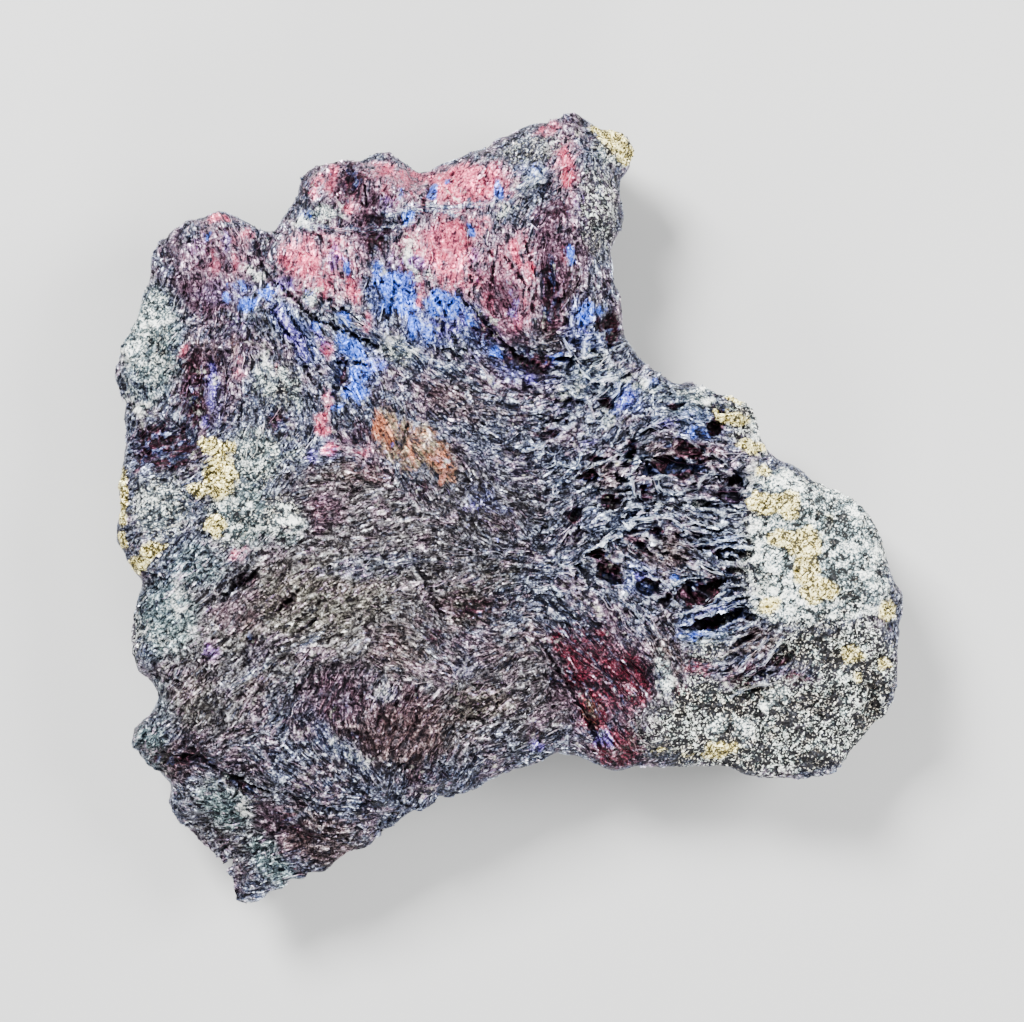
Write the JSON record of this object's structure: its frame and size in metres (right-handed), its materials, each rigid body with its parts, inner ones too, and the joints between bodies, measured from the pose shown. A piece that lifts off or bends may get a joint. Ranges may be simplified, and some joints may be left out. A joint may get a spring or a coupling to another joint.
{
  "type": "covellite hand specimen",
  "caption": "Loose broken slab of foliated, iridescent covellite with pyrite grains, lying on its back with the bright face up.",
  "frame": {"origin": "middle of the bounding box, at the level of the flat spots that the slab rests on", "axes": "+Z out of the bright face, +X to the right of that face, +Y up it"},
  "size_m": [0.071, 0.0716, 0.0144],
  "materials": {
    "covellite": "dark indigo grey and submetallic, with rose, blue and bronze tarnish on the cleavage faces and pale brassy pyrite grains"
  },
  "bodies": {
    "root": {"covellite": "covellite"}
  },
  "joints": []
}
